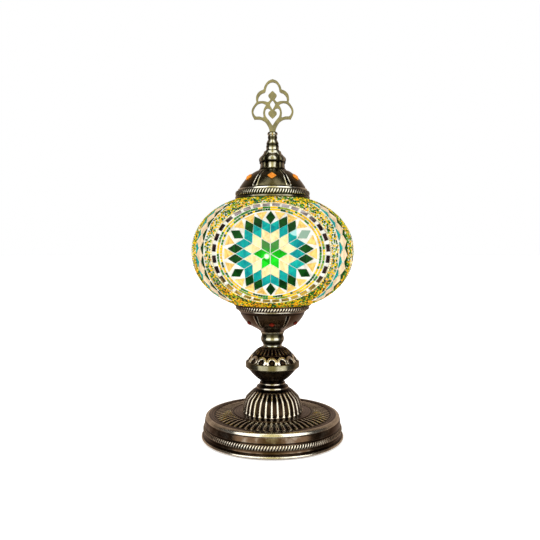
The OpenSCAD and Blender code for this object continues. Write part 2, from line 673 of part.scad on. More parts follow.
module finial_plate() color("palegoldenrod") difference() {
    translate([0, plate_t / 2, z_plate]) rotate([90, 0, 0]) linear_extrude(plate_t) difference() {
        polygon(plate_outline());
        polygon(crown_opening);
        polygon(side_opening);
        mirror([1, 0]) polygon(side_opening);
        polygon(diamond_opening);
        polygon(heart_opening);
    }
    translate([0, 0, pin_z]) rotate([90, 0, 0]) cylinder(r = pin_r, h = 14, center = true);
}

// ---------------------------------------------------------------- pieces

foot_pad();
base_cover();
base_weight();
base_shell();
cord_bushing();
pipe_washer();
pipe_nut();
lamp_pipe();
bell_foot();
knop_lower();
knop_band();
knop_upper();
neck_baluster();
lower_cup();
cup_stones();
holder_locknut();
lampholder_base();
terminal_screws();
lampholder_body();
lampholder_liner();
centre_contact();
bulb_contact();
bulb_insulator();
bulb_cap();
bulb_housing();
led_board();
bulb_diffuser();
glass_globe();
grout_shell();
star_tiles();
ivory_tiles();
teal_tiles();
dark_green_tiles();
amber_triangles();
ring_mirror_tiles();
bead_strands();
seed_bead_field();
column_diamonds();
column_teal_triangles();
column_dark_triangles();
top_cap();
cap_stones();
clip_spring();
cap_collar();
finial_stud();
stud_nut();
finial_stem();
finial_plate();
finial_pin();
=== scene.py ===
import math
from itertools import product
import bmesh
import bpy
import numpy as np
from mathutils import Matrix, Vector


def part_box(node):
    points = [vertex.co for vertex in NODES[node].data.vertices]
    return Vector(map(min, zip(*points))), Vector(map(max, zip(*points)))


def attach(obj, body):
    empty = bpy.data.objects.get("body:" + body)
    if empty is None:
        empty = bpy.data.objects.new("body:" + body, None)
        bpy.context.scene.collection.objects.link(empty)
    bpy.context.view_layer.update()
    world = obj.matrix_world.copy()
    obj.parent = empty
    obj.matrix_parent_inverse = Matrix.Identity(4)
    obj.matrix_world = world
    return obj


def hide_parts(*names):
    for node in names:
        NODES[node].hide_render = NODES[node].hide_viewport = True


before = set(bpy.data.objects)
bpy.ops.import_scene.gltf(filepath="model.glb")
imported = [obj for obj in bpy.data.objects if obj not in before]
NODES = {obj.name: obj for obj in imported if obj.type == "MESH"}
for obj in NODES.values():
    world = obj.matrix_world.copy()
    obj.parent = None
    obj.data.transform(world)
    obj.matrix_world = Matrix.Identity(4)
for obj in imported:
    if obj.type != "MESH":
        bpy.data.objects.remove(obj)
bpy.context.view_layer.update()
MM = 0.001
TAU = 2 * math.pi

# The mosaic face of the globe, as the CAD model draws it. SHELL_DROP and GLASS_DROP are depths under that
# face, and MEDALLION_DROP is how far a medallion's middle lies below the globe's. Angles are in degrees.
GLOBE_R = 80 * MM
GLOBE_HALF_H = 57.6 * MM
SQUARENESS = 2.15
BOTTOM_OPENING_R = 31 * MM
TOP_OPENING_R = 27 * MM
SHELL_DROP = 2.05 * MM
GLASS_DROP = 3.25 * MM
MEDALLION_DROP = 1 * MM
MEDALLIONS = [0, 118.5, -118.5]
COLUMNS = [57, -57, 180]
COLUMN_HALF_W = 8.4 * MM
COLUMN_REACH = [-62 * MM, 62.5 * MM]


# ---------------------------------------------------------------- camera

CAMERA_LENS = 39.33
SENSOR_WIDTH = 36
CAMERA_AROUND = math.radians(1.6)
CAMERA_DISTANCE = 0.590
CAMERA_ASIDE = -0.0025
CAMERA_HEIGHT = 0.1907
CAMERA_TILT = math.radians(2.23)


def make_camera():
    data = bpy.data.cameras.new("camera")
    data.lens, data.sensor_width = CAMERA_LENS, SENSOR_WIDTH
    camera = bpy.data.objects.new("camera", data)
    bpy.context.scene.collection.objects.link(camera)
    s, c = math.sin(CAMERA_AROUND), math.cos(CAMERA_AROUND)
    camera.location = (CAMERA_DISTANCE * s + CAMERA_ASIDE * c, CAMERA_ASIDE * s - CAMERA_DISTANCE * c,
                       CAMERA_HEIGHT)
    camera.rotation_euler = (math.pi / 2 - CAMERA_TILT, 0, CAMERA_AROUND)
    bpy.context.scene.camera = camera


make_camera()


# ---------------------------------------------------------------- materials

def srgb(r, g, b):
    """A screen colour from 0 to 1 as the linear colour that shaders take."""
    return tuple(c / 12.92 if c <= 0.04045 else ((c + 0.055) / 1.055) ** 2.4 for c in (r, g, b)) + (1.0,)


# Painted light on the star's glass: DULL_GREEN is painted over the globe's middle, where no glow is painted,
# and BULB_LIGHT is the painted white spot where the bulb shines through.
DULL_GREEN = srgb(0.34, 0.46, 0.30)
BULB_LIGHT = srgb(0.8, 1.0, 0.75)


def principled(name, **settings):
    mat = bpy.data.materials.new(name)
    mat.use_nodes = True
    shader = mat.node_tree.nodes["Principled BSDF"]
    for socket, value in settings.items():
        shader.inputs[socket.replace("_", " ")].default_value = value
    return mat, mat.node_tree, shader


def add(tree, kind, *sources, out=0, **settings):
    """Adds a node, feeds its inputs in order with sockets or plain values, and returns the output out."""
    node = tree.nodes.new("ShaderNode" + kind)
    for key, value in settings.items():
        setattr(node, key, value)
    for socket, source in zip(node.inputs, sources):
        if isinstance(source, bpy.types.NodeSocket):
            tree.links.new(source, socket)
        elif source is not None:
            socket.default_value = source
    return node.outputs[out]


def calc(tree, operation, a, b=None):
    return add(tree, "Math", a, b, operation=operation)


def mixed(tree, share, colour, other):
    """A colour that is colour where share is 0 and other where it is 1."""
    return add(tree, "Mix", share, None, None, None, None, None, colour, other, data_type="RGBA", out=2)


def ramp(tree, factor, *stops):
    """A colour ramp through (place, colour) stops."""
    node = tree.nodes.new("ShaderNodeValToRGB")
    tree.links.new(factor, node.inputs[0])
    elements = node.color_ramp.elements
    while len(elements) < len(stops):
        elements.new(0.5)
    for element, (place, colour) in zip(elements, stops):
        element.position, element.color = place, colour
    return node.outputs[0]


def span(tree, value, low, high, to_low=0.0, to_high=1.0):
    """value moved from the range low to high to the range to_low to to_high, and held inside it."""
    return add(tree, "MapRange", value, low, high, to_low, to_high)


def noise(tree, where, scale, detail=3.0, rough=0.55):
    return add(tree, "TexNoise", where, None, scale, detail, rough)


def place_of(tree):
    return add(tree, "TexCoord", out="Object")


def wear_of(tree):
    """What piece() stores at each point: how rubbed the metal is, with painted highlights and painted shade
    on some parts, or how strongly the grout is tinted ochre.
    """
    return add(tree, "Attribute", out="Fac", attribute_name="wear")


def one_per_part(tree):
    """A random number from 0 to 1 for each separate part of a mesh, such as one bead."""
    return add(tree, "NewGeometry", out="Random Per Island")


def above_middle(tree, where):
    """Height above the middle of the globe."""
    return calc(tree, "SUBTRACT", add(tree, "SeparateXYZ", where, out="Z"), GLOBE_Z)


def darker(colour, share):
    return tuple(c * share for c in colour[:3]) + (1.0,)


def bump(tree, shader, height, strength, distance=0.0004):
    tree.links.new(add(tree, "Bump", strength, distance, None, height), shader.inputs["Normal"])


def stretched(tree, where, x, y, z):
    return add(tree, "Mapping", where, None, None, (x, y, z))


def aged_metal(name, recess, body, ridge, polish=0.11):
    """Plated metal with a patina that stays in the recesses and is rubbed off the ridges. Its wear also
    carries the painted highlight bands and painted dark lines that some reliefs put in.
    """
    mat, tree, shader = principled(name, Metallic=1.0)
    where = place_of(tree)
    cloud = noise(tree, where, 90, 5)
    rubbed = calc(tree, "ADD", wear_of(tree), calc(tree, "MULTIPLY", calc(tree, "SUBTRACT", cloud, 0.5), 0.5))
    colour = ramp(tree, rubbed, (0.08, recess), (0.5, body), (0.92, ridge))
    specks = span(tree, noise(tree, where, 900, 2), 0.35, 0.7, 0.0, 0.3)
    tree.links.new(mixed(tree, specks, colour, recess), shader.inputs["Base Color"])
    dull = span(tree, rubbed, 0, 0.6, 0.12, 0)
    rough = calc(tree, "ADD", span(tree, cloud, 0.3, 0.7, polish, polish + 0.1), dull)
    tree.links.new(rough, shader.inputs["Roughness"])
    lines = noise(tree, stretched(tree, where, 60, 60, 2600), 1.0, 2)
    bump(tree, shader, calc(tree, "ADD", lines, calc(tree, "MULTIPLY", cloud, 0.6)), 0.18, 0.0003)
    return mat


def plain_metal(name, colour, rough, lines=(40, 40, 1800)):
    """Clean metal with fine lines from its making, and slight changes of tone."""
    mat, tree, shader = principled(name, Metallic=1.0)
    where = place_of(tree)
    cloud = noise(tree, where, 120, 4)
    tone = ramp(tree, cloud, (0.3, darker(colour, 0.55)), (0.65, colour))
    tree.links.new(tone, shader.inputs["Base Color"])
    tree.links.new(span(tree, cloud, 0.3, 0.7, rough + 0.12, rough), shader.inputs["Roughness"])
    bump(tree, shader, noise(tree, stretched(tree, where, *lines), 1.0, 2), 0.2, 0.0002)
    return mat


def moulded(name, colour, rough, grain=1500, strength=0.12, tint=0.85, **settings):
    """Moulded plastic, paint or rubber: a fine grain and slight changes of tone."""
    mat, tree, shader = principled(name, **settings)
    where = place_of(tree)
    cloud = noise(tree, where, 60, 4)
    tone = ramp(tree, cloud, (0.3, darker(colour, tint)), (0.7, colour))
    tree.links.new(tone, shader.inputs["Base Color"])
    tree.links.new(span(tree, cloud, 0.3, 0.7, rough, rough + 0.1), shader.inputs["Roughness"])
    bump(tree, shader, noise(tree, where, grain, 2), strength, 0.0003)
    return mat


def medallion_nearness(tree, where, start, end, aside=0.0, drop=0.0):
    """0 more than start degrees away from the centre of each medallion, seen from the middle of the globe,
    and 1 less than end degrees away. aside and drop move the centre by so many degrees."""
    offset = add(tree, "VectorMath", where, (0, 0, GLOBE_Z), operation="SUBTRACT")
    heading = add(tree, "VectorMath", offset, operation="NORMALIZE")
    nearest = None
    for angle in MEDALLIONS:
        a = math.radians(angle + aside)
        level, below = math.cos(math.radians(drop)), math.sin(math.radians(drop))
        towards = (math.sin(a) * level, -math.cos(a) * level, -below)
        dot = add(tree, "VectorMath", heading, towards, operation="DOT_PRODUCT", out="Value")
        nearest = dot if nearest is None else calc(tree, "MAXIMUM", nearest, dot)
    return span(tree, nearest, math.cos(math.radians(start)), math.cos(math.radians(end)))


def stained_glass(name, deep, clear, glow=0.1, mottle=140, vary=0.16, pale=None, bulb_spot=False):
    """Stained glass with a painted glow for the light from behind: streaks, a different tone in each tile,
    and more painted glow near the centres of the medallions. pale is the tint of one painted reflection, a
    pale patch on each medallion, with its radius and how far aside and below the centre it lies, in degrees.
    With bulb_spot the glass is painted glowing under the globe's middle and duller over it, with a painted
    white spot where the bulb shines through."""
    mat, tree, shader = principled(name, Specular_IOR_Level=0.06)
    where = place_of(tree)
    each = one_per_part(tree)
    shift = calc(tree, "MULTIPLY", each, 37.0)
    moved = add(tree, "VectorMath", where, add(tree, "CombineXYZ", shift, shift, 0.0), operation="ADD")
    streak = noise(tree, stretched(tree, moved, mottle, mottle, mottle * 0.45), 1.0, 6, 0.62)
    tone = calc(tree, "ADD", streak, calc(tree, "MULTIPLY", calc(tree, "SUBTRACT", each, 0.5), vary))
    colour = ramp(tree, tone, (0.28, deep), (0.66, clear))
    # Painted reflection: a pale patch at the same place on each medallion.
    if pale:
        tint, reach, aside, drop = pale
        patch = medallion_nearness(tree, where, reach + 0.2, reach - 0.2, aside, drop)
        colour = mixed(tree, patch, colour, tint)
    # Painted light: glow under the globe's middle, duller grey-green glass over it, and a white spot for the
    # bulb.
    if bulb_spot:
        height = above_middle(tree, where)
        colour = mixed(tree, span(tree, height, 1 * MM, 5 * MM, 0.0, 0.6), colour, DULL_GREEN)
        spot = medallion_nearness(tree, where, 2.0, 0.4, -2.2, 2.2)
        light = span(tree, height, -6 * MM, 5 * MM, 1.4, 0.05)
        light = calc(tree, "ADD", light, calc(tree, "MULTIPLY", spot, 1.5))
        shine = mixed(tree, spot, colour, BULB_LIGHT)
    else:
        # Painted glow: emission for the light through the glass, twice as strong near each medallion's
        # centre.
        light = calc(tree, "ADD", glow, calc(tree, "MULTIPLY", medallion_nearness(tree, where, 26, 4), glow))
        shine = colour
    tree.links.new(shine, shader.inputs["Emission Color"])
    tree.links.new(colour, shader.inputs["Base Color"])
    tree.links.new(light, shader.inputs["Emission Strength"])
    tree.links.new(span(tree, streak, 0.3, 0.7, 0.16, 0.28), shader.inputs["Roughness"])
    bump(tree, shader, noise(tree, moved, 260, 3), 0.3, 0.0004)
    return mat


def bead_glass(name, colour):
    # Emission_Strength is a faint painted glow on every bead.
    mat, tree, shader = principled(name, Specular_IOR_Level=0.2, Emission_Strength=0.06, Roughness=0.22)
    light = tuple(min(1.0, c * 1.2) for c in colour[:3]) + (1.0,)
    tone = ramp(tree, one_per_part(tree), (0.0, darker(colour, 0.66)), (0.5, colour), (1.0, light))
    tree.links.new(tone, shader.inputs["Base Color"])
    tree.links.new(tone, shader.inputs["Emission Color"])
    return mat


# ---------------------------------------------------------------- mesh helpers

WELD_REACH = 1e-6
OFF_AXIS = 1e-5
CORNER_ANGLE = 32
CUT_ANGLE = 1.3


def mesh_of(name, points, quads):
    mesh = bpy.data.meshes.new(name)
    mesh.vertices.add(len(points))
    mesh.vertices.foreach_set("co", np.asarray(points, np.float32).ravel())
    mesh.loops.add(quads.size)
    mesh.loops.foreach_set("vertex_index", np.asarray(quads, np.int32).ravel())
    mesh.polygons.add(len(quads))
    mesh.polygons.foreach_set("loop_start", np.arange(0, quads.size, quads.shape[1], dtype=np.int32))
    mesh.update(calc_edges=True)
    mesh.validate()
    return mesh


def piece(name, body, mat, points, quads, wear=None, stands_for=(), crease=50):
    """One visual piece of the model. Its edges stay sharp where they turn by more than crease degrees."""
    mesh = mesh_of(name, points, quads)
    mesh.shade_smooth()
    if crease:
        mesh.set_sharp_from_angle(angle=math.radians(crease))
    if wear is not None:
        stored = mesh.attributes.new("wear", "FLOAT", "POINT")
        stored.data.foreach_set("value", np.asarray(wear, np.float32).ravel())
    mesh.materials.append(mat)
    obj = bpy.data.objects.new(name, mesh)
    bpy.context.scene.collection.objects.link(obj)
    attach(obj, body)
    if stands_for:
        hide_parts(*stands_for)


def section(node, cut):
    """The outline of a spun CAD node, cut through its axis at the angle cut, as (radius, height) points. It
    runs anticlockwise, so that its faces look outwards when it is spun."""
    bm = bmesh.new()
    bm.from_mesh(NODES[node].data)
    bmesh.ops.remove_doubles(bm, verts=bm.verts, dist=WELD_REACH)
    side = Vector((math.cos(cut), math.sin(cut), 0))
    bmesh.ops.bisect_plane(bm, geom=bm.verts[:] + bm.edges[:] + bm.faces[:], plane_co=(0, 0, 0),
                           plane_no=(-side.y, side.x, 0), clear_inner=True, clear_outer=True)
    near = {}
    for e in bm.edges:
        if all(v.co.dot(side) > OFF_AXIS for v in e.verts):
            for a, b in (e.verts, reversed(e.verts)):
                near.setdefault(a.index, []).append(b.index)
    bm.verts.ensure_lookup_table()
    best, seen = [], set()
    for start in sorted(near, key=lambda i: len(near[i])):
        if start in seen:
            continue
        loop, at = [], start
        while at is not None:
            seen.add(at)
            loop.append(at)
            at = next((b for b in near[at] if b not in seen), None)
        if len(loop) > len(best):
            best = loop
    line = np.array([(bm.verts[i].co.dot(side), bm.verts[i].co.z) for i in best])
    bm.free()
    ahead = np.roll(line, -1, 0)
    if (line[:, 0] * ahead[:, 1] - ahead[:, 0] * line[:, 1]).sum() < 0:
        line = line[::-1]
    return line


def refined(line, step):
    """The outline with points no further than step apart, smoothed except at its corners. Edges that face
    inwards or down are hidden and get no points."""
    points, fixed = [], []
    for i in range(len(line)):
        before, at, after = line[i - 1], line[i], line[(i + 1) % len(line)]
        u, v = at - before, after - at
        turn = abs(math.degrees(math.atan2(u[0] * v[1] - u[1] * v[0], u @ v)))
        length = math.hypot(*v)
        hidden = (v[1] - 0.6 * v[0]) < -0.2 * length
        points.append(at)
        fixed.append(turn > CORNER_ANGLE)
        pieces = 1 if hidden else max(1, math.ceil(length / step))
        for k in range(1, pieces):
            points.append(at + v * k / pieces)
            fixed.append(False)
    points, fixed = np.array(points), np.array(fixed)[:, None]
    for _ in range(3):
        points = np.where(fixed, points, (np.roll(points, 1, 0) + 2 * points + np.roll(points, -1, 0)) / 4)
    return points


def grid_quads(rows, columns, close_rows=True):
    """Quads between neighbouring rows of points, where each row closes on itself. With close_rows the last
    row joins the first."""
    i, j = np.meshgrid(np.arange(rows if close_rows else rows - 1), np.arange(columns), indexing="ij")
    here, up, after = i * columns, (i + 1) % rows * columns, (j + 1) % columns
    return np.stack([here + j, here + after, up + after, up + j], -1).reshape(-1, 4)


def all_round(r, z, turn):
    """Points at each radius r and height z of a profile, at the angles turn round the axis."""
    x, y = r[:, None] * np.cos(turn), r[:, None] * np.sin(turn)
    return np.stack([x, y, np.broadcast_to(z[:, None], x.shape)], -1).reshape(-1, 3)


def spin(line, around, relief=None):
    """Points, quads and wear of an outline turned round Z. relief(r, z, t) says how far out each point moves
    and how rubbed it is, from 0 in a recess to 1 on a ridge; some reliefs also put painted highlights and
    painted shade into it."""
    ahead = np.roll(line, -1, 0) - np.roll(line, 1, 0)
    ahead /= np.linalg.norm(ahead, axis=1)[:, None]
    turn = np.arange(around) * TAU / around - math.pi / 2
    r, z, t = line[:, :1], line[:, 1:], turn[None, :]
    out, wear = relief(r, z, t) if relief else (0.0, 0.5)
    out = out * np.ones((len(line), around))
    wear = wear * np.ones((len(line), around))
    r2 = r + ahead[:, 1:] * out
    z2 = z - ahead[:, :1] * out
    points = np.stack([r2 * np.cos(t), r2 * np.sin(t), z2], -1).reshape(-1, 3)
    return points, grid_quads(len(line), around), wear


def turned(name, node, body, mat, step, around, relief=None, shape=None, cut=CUT_ANGLE):
    """The visual piece for a spun CAD node: its own outline with finer steps and a relief. shape may change
    the outline first, and cut is the angle in degrees where the outline is taken."""
    line = section(node, math.radians(cut))
    if shape:
        line = shape(line)
    points, quads, wear = spin(refined(line, step), around, relief)
    piece(name, body, mat, points, quads, wear, (node,))


def pressed_in(line, centre, halves):
    """The outline with the bulge at centre made flatter, to make room for a rope on it."""
    depth_left, margin = 0.45, 1.06
    offset = line - np.array(centre)
    inside = np.linalg.norm(offset / np.array(halves), axis=1) < margin
    return np.where(inside[:, None], centre + offset * np.array([depth_left, 1.0]), line)


def rope(name, body, mat, place, halves, strands):
    """A rope border: a ring with an upright oval section that swells at each slanted strand."""
    around, sides = strands * 8, 20
    t = np.arange(around)[:, None] * TAU / around
    s = np.arange(sides)[None, :] * TAU / sides
    swell = np.abs(np.cos((strands * t - 2.4 * np.sin(s)) / 2))
    grow = 0.5 + 0.5 * swell ** 0.7
    out = place[0] + halves[0] * grow * np.cos(s)
    up = place[1] + halves[1] * (0.86 + 0.14 * swell) * np.sin(s)
    points = np.stack([out * np.cos(t), out * np.sin(t), up], -1).reshape(-1, 3)
    quads = grid_quads(around, sides)[:, ::-1]
    piece(name, body, mat, points, quads, swell ** 2.0, crease=None)


def window(x, low, high, soft):
    """1 between low and high, falling to 0 over soft on both sides."""
    rise = np.clip((x - low) / soft + 0.5, 0, 1)
    fall = np.clip((high - x) / soft + 0.5, 0, 1)
    return (rise * rise * (3 - 2 * rise)) * (fall * fall * (3 - 2 * fall))


def line_at(x, centre, width):
    """1 at centre, falling softly to 0 over about two widths."""
    return np.exp(-(((x - centre) / width) ** 2))


def ridge(t, count, narrow, shift=0.0):
    """1 on each of count ridges round the axis, 0 between them. A higher narrow makes them thinner."""
    return (0.5 + 0.5 * np.cos(count * (t + math.pi / 2) + shift)) ** narrow


def keep_node(node, mat, bevel=0.0, segments=2, angle=32):
    """Gives a CAD node its material and, where it shows, softer edges."""
    obj = NODES[node]
    for slot in obj.material_slots:
        slot.material = mat
    if not obj.material_slots:
        obj.data.materials.append(mat)
    if bevel:
        obj.modifiers.new("weld", "WELD").merge_threshold = WELD_REACH
        mod = obj.modifiers.new("edges", "BEVEL")
        mod.width, mod.segments, mod.limit_method = bevel, segments, "ANGLE"
        mod.angle_limit = math.radians(angle)
        mod.harden_normals = False


# ---------------------------------------------------------------- globe surface

# A distance for points on the other side of the globe
FAR = 1.0


def wall_height(r, drop=0.0):
    """How far the wall at drop under the mosaic's face lies above the globe's middle at radius r."""
    return (GLOBE_HALF_H - drop) * (1 - (r / (GLOBE_R - drop)) ** SQUARENESS) ** (1 / SQUARENESS)


GLOBE_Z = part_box("grout_shell")[1].z - wall_height(TOP_OPENING_R, SHELL_DROP)


def wall_profile(t, drop):
    """Radius and height of the globe's wall at drop under the mosaic's face. t is 0 at the middle, pi / 2 at
    the top and -pi / 2 at the bottom."""
    a, b = GLOBE_R - drop, GLOBE_HALF_H - drop
    r = a * np.abs(np.cos(t)) ** (2 / SQUARENESS)
    return r, GLOBE_Z + np.sign(t) * b * np.abs(np.sin(t)) ** (2 / SQUARENESS)


def wall_limits(drop=0.0):
    """The values of t at the globe's two openings."""
    a = GLOBE_R - drop
    return (-math.acos((BOTTOM_OPENING_R / a) ** (SQUARENESS / 2)),
            math.acos((TOP_OPENING_R / a) ** (SQUARENESS / 2)))


def outward(p):
    """The globe's outward normals at points of its surface."""
    r = np.hypot(p[:, 0], p[:, 1])
    z = p[:, 2] - GLOBE_Z
    k = SQUARENESS - 1
    g = np.stack([r ** (k - 1) * p[:, 0] / GLOBE_R ** SQUARENESS,
                  r ** (k - 1) * p[:, 1] / GLOBE_R ** SQUARENESS,
                  np.sign(z) * np.abs(z) ** k / GLOBE_HALF_H ** SQUARENESS], -1)
    return g / np.linalg.norm(g, axis=1)[:, None]


def section_radius(t):
    """The radius at the angle t of the oval that the medallions are laid out with."""
    return 1 / np.sqrt((np.cos(t) / GLOBE_R) ** 2 + (np.sin(t) / GLOBE_HALF_H) ** 2)


def about_z(p, degrees):
    """The points p turned round Z."""
    a = math.radians(degrees)
    x, y = p[:, 0], p[:, 1]
    return np.stack([x * math.cos(a) - y * math.sin(a), x * math.sin(a) + y * math.cos(a), p[:, 2]], -1)


def on_medallion(c, angle):
    """Surface points at the flat layout coordinates c of the medallion that faces angle. The loop solves for
    the angle at the globe's middle that layout_distance turns into a length."""
    q = c - np.array([0, MEDALLION_DROP])
    rho, t = np.hypot(q[:, 0], q[:, 1]), np.arctan2(q[:, 1], q[:, 0])
    radius = section_radius(t)
    k = (GLOBE_R / radius) ** 2 - 1
    a = rho / radius
    for _ in range(5):
        a = rho / radius / (1 + k * a * a / 6)
    s = radius * np.sin(a)
    x, z = s * np.cos(t), s * np.sin(t)
    r = GLOBE_R * np.clip(1 - (np.abs(z) / GLOBE_HALF_H) ** SQUARENESS, 0, 1) ** (1 / SQUARENESS)
    y = -np.sqrt(np.clip(r * r - x * x, 0, None))
    return about_z(np.stack([x, y, z + GLOBE_Z], -1), angle)


def layout_distance(p, angle):
    """How far along the surface points lie from the centre of the medallion that faces angle."""
    q = about_z(p, -angle)
    x, z = q[:, 0], q[:, 2] - GLOBE_Z
    t, s = np.arctan2(z, x), np.hypot(x, z)
    radius = section_radius(t)
    k = (GLOBE_R / radius) ** 2 - 1
    a = np.arcsin(np.clip(s / radius, 0, 1))
    rho = radius * a * (1 + k * a * a / 6)
    c = np.stack([rho * np.cos(t), rho * np.sin(t) + MEDALLION_DROP], -1)
    return np.where(q[:, 1] < 0, np.linalg.norm(c, axis=1), FAR)


def nearest_medallion(p):
    return np.min([layout_distance(p, a) for a in MEDALLIONS], axis=0)


def column_offset(p):
    """How far points lie outside the tile columns: below 0 inside one."""
    best = np.full(len(p), FAR)
    for angle in COLUMNS:
        q = about_z(p, -angle)
        z = q[:, 2] - GLOBE_Z
        along = GLOBE_HALF_H * np.arcsin(np.clip(z / GLOBE_HALF_H, -1, 1))
        along *= 1 + ((GLOBE_R / GLOBE_HALF_H) ** 2 - 1) * (along / GLOBE_HALF_H) ** 2 / 6
        past = np.maximum(COLUMN_REACH[0] - along, along - COLUMN_REACH[1])
        inside = np.maximum(np.abs(q[:, 0]) - COLUMN_HALF_W, past)
        best = np.minimum(best, np.where(q[:, 1] < 0, inside, FAR))
    return best


# ---------------------------------------------------------------- grout and beads

TILE_GROUT_DROP = 0.45 * MM
BEAD_GROUT_DROP = 1.05 * MM
TILES_REACH = 46.6 * MM
PLATE_RING = [53.0 * MM, 59.0 * MM]
# Each string of beads round a medallion: its radius and the colours it is drawn from
STRANDS = [(47.5 * MM, ["yellow", "green", "dark_green", "yellow"]),
           (51.3 * MM, ["yellow", "yellow", "green", "olive"])]
STRAND_STEP = 2.75 * MM
EDGE_STRING = 60.3 * MM
EDGE_STEP = 2.4 * MM
SEED_LENGTH, SEED_RADIUS, SEED_SIZE = 2.15 * MM, 0.74 * MM, 0.95
STRAND_LENGTH, STRAND_RADIUS, STRAND_SINK = 2.2 * MM, 0.98 * MM, 0.7 * MM
CLEAR_OF_STRING, CLEAR_OF_COLUMN, CLEAR_OF_OPENING = 1.1 * MM, 0.7 * MM, 1 * MM


def make_grout(mat):
    """White grout, higher between the tiles than under the beads, laid by hand."""
    rng = np.random.default_rng(3)
    around, up, inner = 620, 190, 40
    phi = np.arange(around) * TAU / around
    p = all_round(*wall_profile(np.linspace(*wall_limits(), up), 0.0), phi)
    rho = nearest_medallion(p)
    tiled = np.maximum(np.clip((TILES_REACH - rho) / (1.2 * MM), 0, 1),
                       np.clip(-column_offset(p) / (0.8 * MM), 0, 1))
    tiled = np.maximum(tiled, window(rho, *PLATE_RING, 1.2 * MM))
    drop = BEAD_GROUT_DROP + (TILE_GROUT_DROP - BEAD_GROUT_DROP) * tiled
    waves = sum(np.sin(p @ rng.normal(0, f, 3) + rng.uniform(0, TAU)) for f in (400, 700, 1100, 1700)) / 4
    drop = drop + 0.14 * MM * waves * (1.2 - tiled) + rng.normal(0, 0.03 * MM, len(p))
    outside = p - outward(p) * drop[:, None]
    height = (p[:, 2] - GLOBE_Z) / GLOBE_HALF_H
    # Ochre tint towards the foot, away from the tiles and plates.
    foot_ochre = (1 - tiled) * np.clip((rho - 52.0 * MM) / (3 * MM), 0, 1) * np.clip(-height * 1.5, 0, 1)
    low, high = wall_limits(GLASS_DROP)
    inside = all_round(*wall_profile(np.linspace(high, low, inner), GLASS_DROP), phi)
    foot_ochre = np.concatenate([foot_ochre, np.zeros(len(inside))])
    points = np.concatenate([outside, inside])
    quads = grid_quads(up + inner, around)
    piece("grout", "globe", mat, points, quads, foot_ochre, ("grout_shell",))


def bead_template(sides, long, thick):
    """One short glass tube of length long and radius thick along X, with rounded rims and its hole, as points
    and quads."""
    half = long / 2
    rim = [(half * 0.62, thick), (half, thick * 0.72), (half * 0.9, thick * 0.4),
           (-half * 0.9, thick * 0.4), (-half, thick * 0.72), (-half * 0.62, thick)]
    a = np.arange(sides) * TAU / sides
    points = np.array([(x, r * math.cos(b), r * math.sin(b)) for x, r in rim for b in a])
    return points, grid_quads(len(rim), sides)


def beads(name, mat, centres, along, size, seed, sides, stands_for, long, thick):
    """Many beads in one mesh, each lying on the globe with its hole along its own direction."""
    rng = np.random.default_rng(seed)
    template, quads = bead_template(sides, long, thick)
    n = outward(centres)
    u = along - n * (along * n).sum(1)[:, None]
    u /= np.linalg.norm(u, axis=1)[:, None]
    v = np.cross(n, u)
    frames = np.stack([u, v, n], -1)
    scale = size * rng.uniform(0.88, 1.1, (len(centres), 3))
    points = np.einsum("nij,nkj->nki", frames, template[None] * scale[:, None]) + centres[:, None]
    all_quads = (quads[None] + (np.arange(len(centres)) * len(template))[:, None, None]).reshape(-1, 4)
    piece(name, "globe", mat, points.reshape(-1, 3), all_quads, None, stands_for, crease=None)


def scatter(rng):
    """Points spread over the bead field, closer together near the openings."""
    tries = 90000
    t = rng.uniform(*wall_limits(), tries)
    r, z = wall_profile(t, 0.0)
    keep = rng.uniform(0, 1, tries) < r / GLOBE_R
    phi = rng.uniform(0, TAU, tries)
    p = np.stack([r * np.cos(phi), r * np.sin(phi), z], -1)[keep]
    p = p[(nearest_medallion(p) > EDGE_STRING + CLEAR_OF_STRING) & (column_offset(p) > CLEAR_OF_COLUMN)]
    height = np.abs(p[:, 2] - GLOBE_Z) / GLOBE_HALF_H
    apart = (1.8 - 0.35 * np.clip((height - 0.4) / 0.4, 0, 1)) * MM
    cell, taken, chosen = 2.2 * MM, {}, []
    cells_around = list(product((-1, 0, 1), repeat=3))
    for i, (q, gap) in enumerate(zip(p, apart)):
        key = tuple(int(c // cell) for c in q)
        near = (taken.get((key[0] + a, key[1] + b, key[2] + c), ()) for a, b, c in cells_around)
        if all(math.dist(q, p[j]) > gap for group in near for j in group):
            taken.setdefault(key, []).append(i)
            chosen.append(i)
    return p[chosen]


def make_beads(mats):
    """The bead field. Its colours are shared out differently towards the foot and towards the top."""
    rng = np.random.default_rng(11)
    p = scatter(rng)
    n = outward(p)
    along = np.cross(n, rng.normal(0, 1, p.shape))
    height = (p[:, 2] - GLOBE_Z) / GLOBE_HALF_H
    draw = rng.uniform(0, 1, len(p))
    low, top = np.clip(-height * 1.3, 0, 1), np.clip(height * 1.3, 0, 1)
    names = ["yellow", "orange", "green", "dark_green", "olive", "cream"]
    shares = np.stack([0.37 - 0.15 * low, 0.06 + 0.26 * low, 0.27 - 0.05 * low, 0.15 + 0.1 * low,
                       0.12 + 0.02 * top, 0.05 - 0.04 * low], -1)
    kinds = (draw[:, None] > np.cumsum(shares / shares.sum(1)[:, None], 1)).sum(1)
    for k, name in enumerate(names):
        pick = kinds == k
        centres = p[pick] - n[pick] * SEED_RADIUS
        beads("seed_beads_" + name, mats[name], centres, along[pick], SEED_SIZE, 20 + k, 7,
              ("seed_bead_field",) if k == 0 else (), SEED_LENGTH, SEED_RADIUS)
    make_strands(mats, rng)


